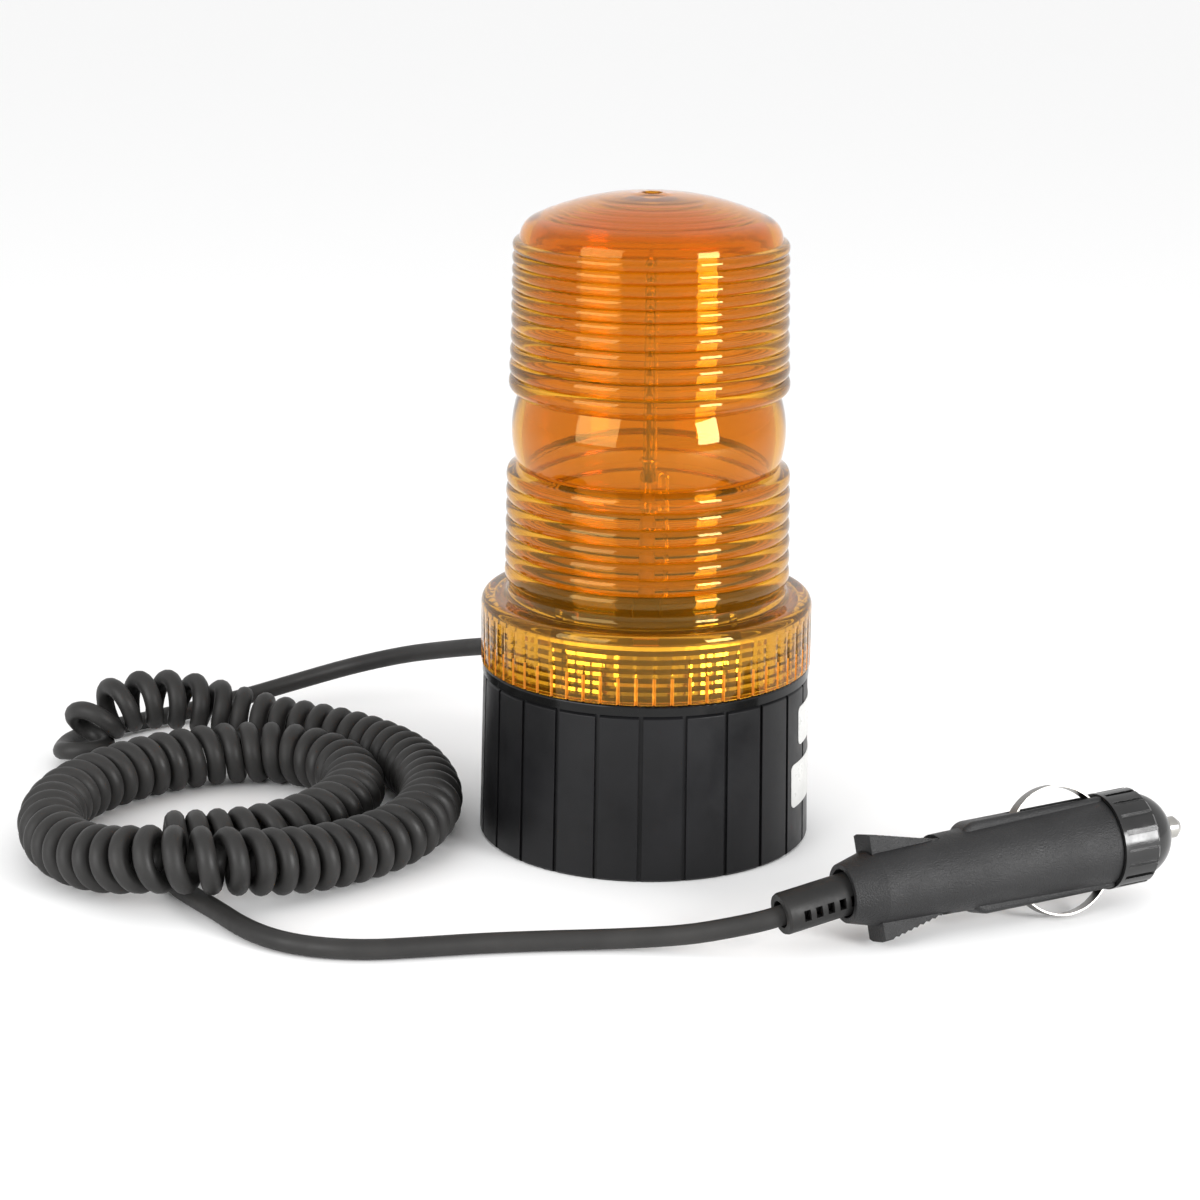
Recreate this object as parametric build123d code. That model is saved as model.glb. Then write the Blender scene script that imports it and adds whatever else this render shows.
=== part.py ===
from build123d import *
import os
from math import atan2, cos, degrees, pi, radians, sin, tan

# Magnetic-base amber strobe beacon with a curly cord and a 12 V accessory plug.
# Frame: origin at the centre of the base's bottom face, +Z up along the beacon's axis. Millimetres.

# Base
BASE_R_BOTTOM = 38.0
BASE_R_TOP = 37.2
BASE_TOP = 38.3
BASE_CHAMFER_LOW = 0.6
BASE_CHAMFER_TOP = 0.8
BASE_WALL = 2.6
BASE_ROOF = 2.5
GROOVE_COUNT = 24
GROOVE_WIDTH = 1.0
GROOVE_DEPTH = 0.7
GROOVE_PHASE = -91.2
NECK_R = 27.0
NECK_BORE = 24.8
NECK_TOP = 61.6
FLANGE_R = 29.3
FLANGE_HEIGHT = 3.0
LUG_COUNT = 5
LUG_STEP = 360 / LUG_COUNT
LUG_GAP = 12.0
LUG_FIRST_GAP = -90.0
TWIST = 36.0
RUN_CLEAR = 0.4

# Lens
COLLAR_R = 37.7
COLLAR_BOTTOM = 40.8
COLLAR_TOP = 56.6
COLLAR_BORE = 34.4
FLUTE_TOP = 53.4
FLUTE_COUNT = 60
FLUTE_DEPTH = 0.55
RIB_DEPTH = 0.75
APEX = 147.5
DOME_R = 29.2
DOME_EDGE = 137.2
FINE_RIBS = (6, 30.7, 31.0, DOME_EDGE, 120.9)
COARSE_RIBS = (5, 31.0, 31.5, 120.9, 103.6)
LOWER_RIBS = (7, 32.0, 32.4, 85.9, 60.0)
BELT_R = 30.74
BELT_EDGE_R = 29.4
BELT_MIDDLE = 94.5

# Base plate and magnet
PLATE_R = 34.9
PLATE_SCREW_R = 30.4
PLATE_SCREW_ANGLES = (90, 210, 330)
PLATE_BOTTOM = 10.5
PLATE_TOP = 13.0
MAGNET_CUP_R = 33.6
PAD_THICK = 1.6
MAGNET_R = 31.6

# Labels
LABEL_GAP = 0.02
LABEL_THICK = 0.14

# Electronics
BOARD_R = 29.5
BOARD_SCREW_R = 26.4
BOARD_SCREW_ANGLES = (30, 150, 270)
BOARD_BOTTOM = 31.8
BOARD_TOP = 33.4
PILLAR_R = 1.8
PILLAR_BORE = 0.8
PILLAR_FOOT_R = 3.6
PILLAR_TOP = 79.0
CAP_R = 1.9
CAP_TOP = 84.6
GLASS_R = 1.3
GLASS_BORE = 0.9
GLASS_BOTTOM = 83.0
GLASS_TOP = 131.0
ROD_TOP = 101.5
POST_PLACE = (4.3, -1.0)
RETURN_Y = 4.4

# Reflector
REFLECTOR_SEAT = 57.0
REFLECTOR_THICK = 1.4
SEAT_WIDTH = 0.8

# Cord
CORD_R = 2.2
COIL_R = 7.4
EXIT_ANGLE = 126.3
EXIT_HEIGHT = 30.0
GROMMET_LENGTH = 13.0

# Routes: the control points of the runs, chosen by hand.
LAMP_LEAD_ROUTE = [
    (-29.8, 40.5, 30.0), (-34.2, 46.5, 29.1), (-40.8, 54.2, 26.6), (-50.6, 63.6, 22.8),
    (-62.0, 73.0, 18.5), (-76.0, 78.2, 13.6), (-90.5, 79.8, 8.6), (-104.5, 77.6, 4.7),
    (-117.5, 72.0, 2.7), (-129.0, 63.6, 2.4), (-138.0, 53.4, 3.2), (-142.8, 43.8, 3.6), (-143.2, 37.6, 2.9),
]
COIL_ROUTE = [
    (-137.6, 36.4, 1.0), (-137.0, 37.0, 8.2), (-132.6, 40.0, 13.0), (-125.6, 43.4, 14.6), (-118.0, 46.6, 14.2),
    (-110.5, 49.0, 12.2), (-103.5, 50.2, 9.6), (-95.5, 48.6, 7.9), (-88.0, 45.2, 7.5), (-79.5, 41.0, 7.6),
    (-68.0, 33.7, 7.5), (-57.3, 21.7, 7.6), (-50.3, 5.5, 7.5), (-48.4, -11.5, 7.6), (-53.0, -28.5, 7.5),
    (-64.0, -42.0, 7.6), (-77.0, -54.0, 9.6), (-90.5, -61.6, 12.6), (-104.0, -60.8, 12.6),
    (-117.0, -53.0, 9.0), (-128.0, -41.5, 7.5), (-134.2, -25.5, 7.6), (-133.5, -8.5, 7.5),
    (-126.0, 6.5, 7.6), (-114.0, 18.6, 7.5), (-99.0, 26.0, 7.6), (-84.0, 25.8, 7.5), (-72.0, 16.2, 7.6),
    (-66.6, 1.5, 7.5), (-69.8, -15.5, 7.6), (-79.0, -28.8, 7.5), (-91.5, -36.8, 7.6), (-105.5, -38.0, 7.5),
]
PLUG_LEAD_ROUTE = [
    (-105.5, -37.6, 2.3), (-104.4, -44.0, 2.3), (-101.0, -50.6, 2.3), (-96.0, -57.2, 2.3), (-90.2, -64.4, 2.3),
    (-84.2, -72.8, 2.3), (-77.0, -79.6, 2.3), (-68.0, -83.6, 2.3), (-57.0, -84.8, 2.3), (-45.5, -82.6, 2.3),
    (-33.0, -79.9, 2.3), (-19.5, -78.0, 2.3), (-5.0, -77.2, 2.6), (9.5, -77.8, 3.9), (19.5, -78.9, 6.4),
    (26.6, -79.0, 8.2), (32.8, -76.7, 9.8),
]

# Plug, in its own frame: +X from the tail to the tip, +Z towards the upper contact.
PLUG_TAIL = (43.4, -71.8, 11.7)
PLUG_YAW = 24.5
PLUG_TILT = 2.65
PLUG_ROLL = 18.0
SHELL_START = -1.7
SHELL_CONE_END = 5.2
SHELL_END = 61.0
SHELL_R_TAIL = 6.3
SHELL_R_REAR = 8.2
SHELL_R_FRONT = 9.6
SHELL_WALL = 1.7
RAIL_START = 26.0
RAIL_WIDTH = 7.4
RAIL_R = 9.9
SLOT_WIDTH = 4.6
SPIGOT_R = 8.0
SPIGOT_LENGTH = 5.0
STRIP_WIDTH = 3.2
STRIP_THICK = 0.45
CONTACT_FOOT = 2.6
CONTACT_TOE = 1.2
BOW_FOOT_A = 40.5
BOW_FOOT_B = 60.0
BOW_PEAK = 14.0
BOW_FOOT_R = 9.2
RING_R = 10.5
RING_START = 61.1
RING_END = 70.1
RING_FLUTES = 18
TIP_START = 66.7
TIP_NECK_R = 8.3
TIP_R = 9.2
TIP_END = 76.5
TIP_FLAT_R = 4.0
PIN_R = 2.4
PIN_END = 81.1
PIN_FLANGE = 66.2
FUSE_END = 60.0
FIN_WIDTH = 7.4
FIN_EDGE_R = 11.6
BOOT_R = 4.5
BOOT_START = -16.4
BOOT_DROOP = 9.0


def ring(r_out, r_in, z_low, z_high):
    """A plain ring about +Z."""
    return Pos(0, 0, z_low) * extrude(Circle(r_out) - Circle(r_in), z_high - z_low)


def disc(radius, z_low, z_high):
    """A plain disc about +Z."""
    return Pos(0, 0, z_low) * extrude(Circle(radius), z_high - z_low)


def turned(points):
    """A solid of revolution about +Z from (radius, height) points."""
    outline = Polyline(*[(r, 0, z) for r, z in points], close=True)
    return revolve(make_face(outline), Axis.Z)


def turned_x(points):
    """A solid of revolution about +X from (station, radius) points."""
    outline = Polyline(*[(x, 0, r) for x, r in points], close=True)
    return revolve(make_face(outline), Axis.X)


def at_angle(angle, radius, height=0.0):
    """A place on a circle about +Z, turned to face outwards."""
    return Rot(0, 0, angle) * Pos(radius, 0, height)


def sector(angle, width, r_out, r_in, z_low, z_high):
    """A ring sector centred on an angle."""
    half = width / 2
    far = 2 * r_out
    wedge = Polyline(
        (0, 0), (far * cos(radians(-half)), far * sin(radians(-half))),
        (far * cos(radians(half)), far * sin(radians(half))), close=True)
    solid = Pos(0, 0, z_low) * extrude(make_face(wedge), z_high - z_low)
    return Rot(0, 0, angle) * (solid & ring(r_out, r_in, z_low, z_high))


def rod(start, end, radius):
    """A round rod between two points."""
    line = Line(start, end)
    return sweep(Plane(start, z_dir=line % 0) * Circle(radius), line)


def bent_wire(points, radius, bend):
    """A round wire with equal bends."""
    path = FilletPolyline(*points, radius=bend)
    return sweep(Plane(points[0], z_dir=path % 0) * Circle(radius), path)


def corner_radii(points, share=0.45):
    """The largest arcs that the runs allow: a share of the shorter run over the tangent of half the turn."""
    found = []
    for before, here, after in zip(points, points[1:], points[2:]):
        first = Vector(*here) - Vector(*before)
        second = Vector(*after) - Vector(*here)
        half_turn = radians(first.get_angle(second)) / 2
        found.append(share * min(first.length, second.length) / tan(half_turn))
    return found


def tube(name, points, radius):
    """A cord tube: straight runs joined by tangent arcs."""
    radii = corner_radii(points)
    path = FilletPolyline(*points, radius=radii)
    body = sweep(Plane(points[0], z_dir=path % 0) * Circle(radius), path)
    share = body.volume / (pi * radius ** 2 * path.length)
    print(name, "length", round(path.length, 1), "volume share", round(share, 4),
          "radii", [round(r, 1) for r in radii], "lowest", round(body.bounding_box().min.Z, 2))
    return body


def base_radius(height):
    """The drafted outer radius of the base at a height."""
    share = (height - BASE_CHAMFER_LOW) / (BASE_TOP - BASE_CHAMFER_TOP - BASE_CHAMFER_LOW)
    return BASE_R_BOTTOM + (BASE_R_TOP - BASE_R_BOTTOM) * share


def gap_angle(index):
    return LUG_FIRST_GAP + index * LUG_STEP


def make_base_housing():
    bore = BASE_R_TOP - BASE_WALL
    plate_bore = PLATE_R + 0.1
    roof = BASE_TOP - BASE_ROOF
    body = turned([
        (BASE_R_BOTTOM - BASE_CHAMFER_LOW, 0), (BASE_R_BOTTOM, BASE_CHAMFER_LOW),
        (BASE_R_TOP, BASE_TOP - BASE_CHAMFER_TOP), (BASE_R_TOP - BASE_CHAMFER_TOP, BASE_TOP),
        (NECK_R, BASE_TOP), (NECK_R, NECK_TOP), (NECK_BORE, NECK_TOP), (NECK_BORE, REFLECTOR_SEAT),
        (NECK_BORE - SEAT_WIDTH, REFLECTOR_SEAT), (NECK_BORE - SEAT_WIDTH, roof), (bore, roof),
        (bore, PLATE_TOP + 0.1), (plate_bore, PLATE_TOP), (plate_bore, 0)])
    tilt = degrees(atan2(BASE_R_BOTTOM - BASE_R_TOP, BASE_TOP))
    groove = Rot(0, -tilt, 0) * Box(2 * GROOVE_DEPTH, GROOVE_WIDTH, 2 * BASE_TOP)
    middle = base_radius(BASE_TOP / 2)
    cuts = [at_angle(GROOVE_PHASE + k * 360 / GROOVE_COUNT, middle, BASE_TOP / 2) * groove
            for k in range(GROOVE_COUNT)]
    body -= cuts
    body += [sector(gap_angle(k) + LUG_STEP / 2, LUG_STEP - LUG_GAP, FLANGE_R, NECK_R - 0.6,
                    NECK_TOP - FLANGE_HEIGHT, NECK_TOP) for k in range(LUG_COUNT)]
    stop_low = COLLAR_TOP - 1.4
    stops = [sector(gap_angle(k) - TWIST - 8.5, 3.0, FLANGE_R - 0.3, NECK_R - 0.5, stop_low,
                    NECK_TOP - FLANGE_HEIGHT + 0.5) for k in range(LUG_COUNT)]
    bosses = [at_angle(angle, BOARD_SCREW_R, BOARD_TOP) * extrude(Circle(3.4), roof - BOARD_TOP + 0.5)
              for angle in BOARD_SCREW_ANGLES]
    plate_bosses = [at_angle(angle, PLATE_SCREW_R, PLATE_TOP) * extrude(Circle(3.6), roof - PLATE_TOP + 0.5)
                    for angle in PLATE_SCREW_ANGLES]
    body += stops + bosses + plate_bosses
    body -= [at_angle(angle, BOARD_SCREW_R, BOARD_TOP - 1) * extrude(Circle(1.2), roof - BOARD_TOP + 2.5)
             for angle in BOARD_SCREW_ANGLES]
    body -= [at_angle(angle, PLATE_SCREW_R, PLATE_TOP - 1) * extrude(Circle(1.4), 11)
             for angle in PLATE_SCREW_ANGLES]
    body -= at_angle(EXIT_ANGLE, 30, EXIT_HEIGHT) * Rot(0, 90, 0) * extrude(Circle(4.0), 12)
    return body


def make_base_plate():
    body = disc(PLATE_R, PLATE_BOTTOM, PLATE_TOP) + disc(7, PLATE_TOP - 0.5, PLATE_TOP + 5)
    body -= disc(2.6, PLATE_BOTTOM - 1, PLATE_TOP + 6)
    for angle in PLATE_SCREW_ANGLES:
        body -= at_angle(angle, PLATE_SCREW_R, PLATE_BOTTOM - 1) * extrude(Circle(1.7), 5)
        body -= at_angle(angle, PLATE_SCREW_R, PLATE_BOTTOM - 1) * extrude(Circle(3.2), 2.3)
    return body


def screw(head_r, head_h, shank_r, length, drive=1.2):
    """A pan-head screw: head down at the origin, shank up, with a hexagon drive."""
    body = extrude(Circle(head_r), head_h) + extrude(Circle(shank_r), length)
    return body - extrude(RegularPolygon(drive, 6), head_h * 0.6)


def make_plate_screws():
    return Compound([at_angle(angle, PLATE_SCREW_R, PLATE_BOTTOM) * screw(3.0, 1.3, 1.35, 10.5)
                     for angle in PLATE_SCREW_ANGLES])


def make_magnet_cup():
    body = turned([(MAGNET_CUP_R, PAD_THICK), (MAGNET_CUP_R, PLATE_BOTTOM), (0, PLATE_BOTTOM),
                   (0, PLATE_BOTTOM - 1.5), (MAGNET_CUP_R - 1.6, PLATE_BOTTOM - 1.5),
                   (MAGNET_CUP_R - 1.6, PAD_THICK)])
    body -= [at_angle(angle, PLATE_SCREW_R, PLATE_BOTTOM - 3) * extrude(Circle(3.4), 5)
             for angle in PLATE_SCREW_ANGLES]
    return body - disc(2.6, 0, PLATE_BOTTOM + 1)


def make_magnet_ring():
    body = ring(MAGNET_R - 6.2, 8, PAD_THICK, PLATE_BOTTOM - 1.5)
    return chamfer(body.edges().group_by(Axis.Z)[0], 0.4)


def make_magnet_pad():
    body = disc(MAGNET_CUP_R, 0, PAD_THICK)
    body = fillet(body.edges().group_by(Axis.Z)[0], 0.5)
    return body


def make_magnet_screw():
    head = PAD_THICK + 1.5
    body = disc(5.0, head + 2.4, PLATE_BOTTOM - 1.5) + disc(2.5, head + 3, PLATE_TOP + 9)
    return body - Pos(0, 0, head + 2) * extrude(RegularPolygon(2.0, 6), 2.2)


def make_magnet_nut():
    body = Pos(0, 0, PLATE_TOP + 5) * extrude(RegularPolygon(4.6, 6), 3.2)
    return body - disc(2.55, PLATE_TOP + 4, PLATE_TOP + 9)


def rib_outline(count, r_top, r_bottom, z_top, z_bottom):
    """Rounded ribs from the top down, as arcs between sharp grooves."""
    step = (z_top - z_bottom) / count
    edges = []
    for k in range(count):
        crest = r_top + (r_bottom - r_top) * k / (count - 1)
        high = z_top - k * step
        low = high - step
        start_r = r_top - RIB_DEPTH + (r_bottom - r_top) * k / count
        end_r = r_top - RIB_DEPTH + (r_bottom - r_top) * (k + 1) / count
        edges.append(ThreePointArc((start_r, 0, high), (crest, 0, (high + low) / 2), (end_r, 0, low)))
    return edges


def joined(edges):
    """The edges with a straight run wherever two neighbours do not meet."""
    whole = []
    for edge in edges:
        if whole and (whole[-1] @ 1 - edge @ 0).length > 1e-6:
            whole.append(Line(whole[-1] @ 1, edge @ 0))
        whole.append(edge)
    if (whole[-1] @ 1 - whole[0] @ 0).length > 1e-6:
        whole.append(Line(whole[-1] @ 1, whole[0] @ 0))
    return whole


def collar_section():
    """The collar's fluted band seen from above: shallow arcs between sharp vertical grooves."""
    half = pi / FLUTE_COUNT
    arcs = []
    for k in range(FLUTE_COUNT):
        middle = 2 * pi * k / FLUTE_COUNT
        groove = COLLAR_R - FLUTE_DEPTH
        places = [(groove, middle - half), (COLLAR_R, middle), (groove, middle + half)]
        arcs.append(ThreePointArc(*[(r * cos(a), r * sin(a)) for r, a in places]))
    return make_face(Wire(arcs)) - Circle(COLLAR_BORE)


def make_lens():
    crown = Spline((0, 0, APEX), (13.0, 0, APEX - 1.25), (24.6, 0, APEX - 4.9),
                   tangents=[(1, 0, 0), (1, 0, -0.42)])
    shoulder = ThreePointArc((24.6, 0, APEX - 4.9), (27.9, 0, APEX - 7.2), (DOME_R, 0, DOME_EDGE))
    belt = Spline((BELT_EDGE_R, 0, 102.6), (BELT_R, 0, BELT_MIDDLE), (BELT_EDGE_R, 0, 86.4))
    neck = ThreePointArc((31.5, 0, 60.0), (31.6, 0, 57.6), (33.0, 0, COLLAR_TOP))
    edge = ThreePointArc((35.6, 0, COLLAR_TOP), (37.1, 0, COLLAR_TOP - 0.6), (COLLAR_R, 0, COLLAR_TOP - 2.1))
    collar = Line((COLLAR_R, 0, COLLAR_TOP - 2.1), (COLLAR_R, 0, FLUTE_TOP))
    under = Polyline((COLLAR_R, 0, FLUTE_TOP), (COLLAR_BORE, 0, FLUTE_TOP),
                     (COLLAR_BORE, 0, COLLAR_TOP - 2.8), (29.9, 0, COLLAR_TOP - 2.8), (29.9, 0, 62.0),
                     (29.3, 0, 63.0), (29.3, 0, 83.4), (27.3, 0, 86.0))
    belt_inside = Spline((27.3, 0, 86.4), (28.6, 0, BELT_MIDDLE), (27.3, 0, 102.6))
    upper_inside = Line((27.7, 0, 104.0), (27.7, 0, 134.0))
    dome_inside = Spline((24.2, 0, 140.0), (13.0, 0, APEX - 3.9), (0, 0, APEX - 2.6),
                         tangents=[(-1, 0, 0.42), (-1, 0, 0)])
    outline = joined([crown, shoulder, *rib_outline(*FINE_RIBS), *rib_outline(*COARSE_RIBS), belt,
                      *rib_outline(*LOWER_RIBS), neck, edge, collar, *under.edges(), belt_inside, upper_inside,
                      dome_inside])
    body = revolve(make_face(Wire(outline)), Axis.Z)
    body += Pos(0, 0, COLLAR_BOTTOM) * extrude(collar_section(), FLUTE_TOP - COLLAR_BOTTOM)
    tab_low = COLLAR_TOP - 1.4
    tab_high = NECK_TOP - FLANGE_HEIGHT - RUN_CLEAR
    body += [sector(gap_angle(k) - TWIST, 9.0, 30.5, NECK_R + RUN_CLEAR, tab_low, tab_high)
             for k in range(LUG_COUNT)]
    return body


def make_lens_gasket():
    body = ring(BASE_R_TOP + 0.2, BASE_R_TOP - 3.4, BASE_TOP, COLLAR_BOTTOM - 0.1)
    return fillet(body.edges().group_by(Axis.Z)[-1], 0.6)


def make_circuit_board():
    body = disc(BOARD_R, BOARD_BOTTOM, BOARD_TOP)
    body -= [at_angle(angle, BOARD_SCREW_R, BOARD_BOTTOM - 1) * extrude(Circle(1.5), 4)
             for angle in BOARD_SCREW_ANGLES]
    body -= [at_angle(angle, PLATE_SCREW_R, BOARD_BOTTOM - 1) * extrude(Circle(4.2), 4)
             for angle in PLATE_SCREW_ANGLES]
    return body - at_angle(EXIT_ANGLE, 31, BOARD_BOTTOM) * Box(17.4, 11.4, 8)


def make_board_screws():
    return Compound([at_angle(angle, BOARD_SCREW_R, BOARD_BOTTOM - 1.3) * screw(2.7, 1.3, 1.15, 6.2, 1.0)
                     for angle in BOARD_SCREW_ANGLES])


def make_transformer():
    core = Pos(13.5, -9.5, BOARD_BOTTOM - 6.6) * Box(17, 14.5, 13)
    winding = Pos(13.5, -9.5, BOARD_BOTTOM - 6.6) * Box(11, 18, 10.4)
    return core + fillet(winding.edges().filter_by(Axis.X), 2.5)


def make_capacitor():
    body = Pos(-13.6, -9, BOARD_BOTTOM - 8.2) * Rot(90, 0, 0) * Cylinder(8.0, 24)
    return fillet(body.edges(), 0.8)


def make_trigger_coil():
    body = Pos(8, 15, BOARD_BOTTOM - 10) * extrude(Circle(4.2), 10)
    return body + Pos(8, 15, BOARD_BOTTOM - 11) * extrude(Circle(2.0), 11)


def make_tube_pillar():
    column = ring(PILLAR_R, PILLAR_BORE, BOARD_TOP, PILLAR_TOP)
    foot = ring(PILLAR_FOOT_R, PILLAR_BORE, BOARD_TOP, BOARD_TOP + 2.2)
    webs = [Rot(0, 0, 45 + 90 * k) * Pos(2.5, 0, BOARD_TOP + 5) * Box(2.0, 0.9, 9) for k in range(4)]
    return column + foot + webs


def make_tube_cap():
    body = turned([(0, PILLAR_TOP - 3), (PILLAR_BORE - 0.05, PILLAR_TOP - 3), (PILLAR_BORE - 0.05, PILLAR_TOP),
                   (CAP_R - 0.3, PILLAR_TOP), (CAP_R, PILLAR_TOP + 1.2), (CAP_R, CAP_TOP - 1.2),
                   (CAP_R - 0.2, CAP_TOP), (0, CAP_TOP)])
    return body - disc(GLASS_R + 0.02, GLASS_BOTTOM, CAP_TOP + 1)


def make_flash_tube():
    body = ring(GLASS_R, GLASS_BORE, GLASS_BOTTOM, GLASS_TOP)
    return fillet(body.edges().group_by(Axis.Z)[-1].sort_by(SortBy.RADIUS)[-1], 0.2)


def make_tube_electrodes():
    """The lower electrode's rod with its bead, and the short upper electrode."""
    fit = GLASS_BORE - 0.04
    lower = disc(fit, GLASS_BOTTOM, GLASS_BOTTOM + 4.5) + disc(0.5, GLASS_BOTTOM + 4, ROD_TOP + 0.5)
    lower += disc(0.8, ROD_TOP, ROD_TOP + 2.2)
    upper = disc(fit, GLASS_TOP - 4.5, GLASS_TOP + 1.5) + disc(0.45, GLASS_TOP - 8, GLASS_TOP - 4)
    return Compound([lower, upper])


def make_trigger_wire():
    """A straight wire beside the glass with a wrap at each end."""
    low = GLASS_BOTTOM + 4.2
    high = ROD_TOP + 16.5
    wraps = [Pos(0, 0, z) * Torus(GLASS_R + 0.4, 0.36) for z in (low, high)]
    return rod((GLASS_R + 0.4, 0, CAP_TOP + 0.1), (GLASS_R + 0.4, 0, high + 1.2), 0.28) + wraps


def make_return_wire():
    """The wire from the top electrode, bent over and down behind the glass to the board."""
    top = GLASS_TOP + 1.5
    points = [(0, 0, top), (0, 0, top + 3.4), (0, RETURN_Y, top + 3.4), (0, RETURN_Y, BOARD_TOP)]
    return bent_wire(points, 0.45, 2.0)


def make_anode_post():
    """A stout wire post with a hooked top, standing on the board beside the pillar."""
    x, y = POST_PLACE
    return bent_wire([(x, y, BOARD_TOP), (x, y, CAP_TOP), (2.6, -0.6, CAP_TOP), (2.6, -0.6, 82.0)], 0.6, 0.8)


def make_reflector_plate():
    """A pale disc on the neck's inner ledge, holed for the pillar and the two wires."""
    body = disc(NECK_BORE - 0.05, REFLECTOR_SEAT, REFLECTOR_SEAT + REFLECTOR_THICK)
    for x, y, radius in ((0, 0, PILLAR_R + 0.1), (*POST_PLACE, 0.8), (0, RETURN_Y, 0.65)):
        body -= Pos(x, y, 0) * disc(radius, REFLECTOR_SEAT - 1, REFLECTOR_SEAT + REFLECTOR_THICK + 1)
    return body


def conical_label(low, high, start, end):
    """A thin blank label bent round the drafted base, with rounded corners."""
    inner = LABEL_GAP
    outer = LABEL_GAP + LABEL_THICK
    shell = turned([(base_radius(low - 1) + inner, low - 1), (base_radius(low - 1) + outer, low - 1),
                    (base_radius(high + 1) + outer, high + 1), (base_radius(high + 1) + inner, high + 1)])
    width = radians(end - start) * BASE_R_BOTTOM
    blank = Pos(0, 0, 25) * extrude(RectangleRounded(high - low, width, 1.4), 20)
    turn = Rot(0, 0, (start + end) / 2) * Pos(0, 0, (low + high) / 2) * Rot(0, 90, 0)
    return shell & (turn * blank)


def make_cord_grommet():
    """Snap-in strain relief: a flange each side of the wall and a tapered, ringed tail."""
    wall = base_radius(EXIT_HEIGHT)
    flat = Rot(0, 0, EXIT_ANGLE) * Pos(0, 0, EXIT_HEIGHT)
    end = wall + GROMMET_LENGTH
    body = turned_x([(31.6, 2.25), (31.6, 5.4), (34.0, 5.4), (34.0, 3.95), (wall + 0.2, 3.95),
                     (wall + 0.2, 5.6), (wall + 1.6, 5.6), (wall + 2.4, 4.5), (end, 3.3), (end, 2.25)])
    slots = [Pos(wall + 4.5 + 2.6 * k, side * 4.6, 0) * Box(1.1, 3.0, 12)
             for k in range(3) for side in (-1, 1)]
    return flat * (body - slots)


def make_cord_clamp():
    """A saddle that grips the cord just inside the wall."""
    foot = BASE_TOP - BASE_ROOF
    height = foot - (EXIT_HEIGHT - CORD_R - 1.2)
    block = Pos(0, 0, foot - height / 2) * Box(4.4, 10, height)
    block -= Pos(0, 0, EXIT_HEIGHT) * Rot(0, 90, 0) * Cylinder(CORD_R, 8)
    return Rot(0, 0, EXIT_ANGLE) * Pos(27.4, 0, 0) * block


def make_supply_wires():
    """Two insulated wires from the cord's end to the underside of the board."""
    wires = []
    for side in (-1, 1):
        flat = Rot(0, 0, EXIT_ANGLE)
        points = [(22.8, side * 0.9, EXIT_HEIGHT), (18.0, side * 1.6, EXIT_HEIGHT),
                  (15.5, side * 3.2, EXIT_HEIGHT + 0.2), (15.5, side * 3.2, BOARD_BOTTOM)]
        wires.append(flat * bent_wire(points, 0.75, 0.78))
    return Compound(wires)


def make_inner_cord():
    """The jacketed end of the cord inside the grommet and clamp."""
    start = 23.0
    length = base_radius(EXIT_HEIGHT) + GROMMET_LENGTH - start
    flat = Rot(0, 0, EXIT_ANGLE) * Pos(start, 0, EXIT_HEIGHT)
    return flat * Rot(0, 90, 0) * extrude(Circle(CORD_R), length)


def placed(shape):
    """A plug piece, from the plug's own frame to where the plug lies."""
    turn = Rot(0, 0, PLUG_YAW) * Rot(0, -PLUG_TILT, 0) * Rot(-PLUG_ROLL, 0, 0)
    return Pos(*PLUG_TAIL) * turn * shape


def fin_outline():
    """A grip fin: square rear face, serrated outer edge falling to the shell."""
    tooth = 1.5
    count = 9
    points = [(4.6, 6.2), (4.6, 11.4)]
    for k in range(count):
        x = 6.4 + k * tooth
        crest = 11.4 - (x - 5.0) * 0.24
        points += [(x, crest), (x + tooth * 0.5, crest - 0.55)]
    points += [(20.4, 7.9), (20.4, 6.2)]
    return points


def plug_outside():
    body = turned_x([(SHELL_START, 0), (SHELL_START, SHELL_R_TAIL), (SHELL_CONE_END, SHELL_R_REAR),
                     (SHELL_END, SHELL_R_FRONT), (SHELL_END, SPIGOT_R), (SHELL_END + SPIGOT_LENGTH, SPIGOT_R),
                     (SHELL_END + SPIGOT_LENGTH, 0)])
    rail = Pos((RAIL_START + SHELL_END) / 2, 0, 0) * Box(SHELL_END - RAIL_START, RAIL_WIDTH, 2 * RAIL_R)
    rail = fillet(rail.edges().filter_by(Axis.Y).group_by(Axis.X)[0], 4.0)
    rail = fillet(rail.edges().filter_by(Axis.X), 1.2)
    return body + rail


def plug_inside():
    wall = SHELL_WALL
    front = SHELL_END + SPIGOT_LENGTH
    return turned_x([(SHELL_START - 1, 0), (SHELL_START - 1, 5.2), (2.0, 5.2),
                     (SHELL_CONE_END, SHELL_R_REAR - wall), (SHELL_END - 1, SHELL_R_FRONT - wall),
                     (SHELL_END - 1, 6.0), (front + 1, 6.0), (front + 1, 0)])


def plug_slots():
    cuts = []
    length = BOW_FOOT_B - BOW_FOOT_A + 1.3
    middle = (BOW_FOOT_A + BOW_FOOT_B) / 2
    for side in (-1, 1):
        cuts.append(Pos(middle - 0.25, 0, side * 9) * Box(length, SLOT_WIDTH, 8))
        cuts.append(Pos(12.5, 0, side * 9) * Box(16.4, FIN_WIDTH + 0.1, 8))
    return cuts


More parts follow.
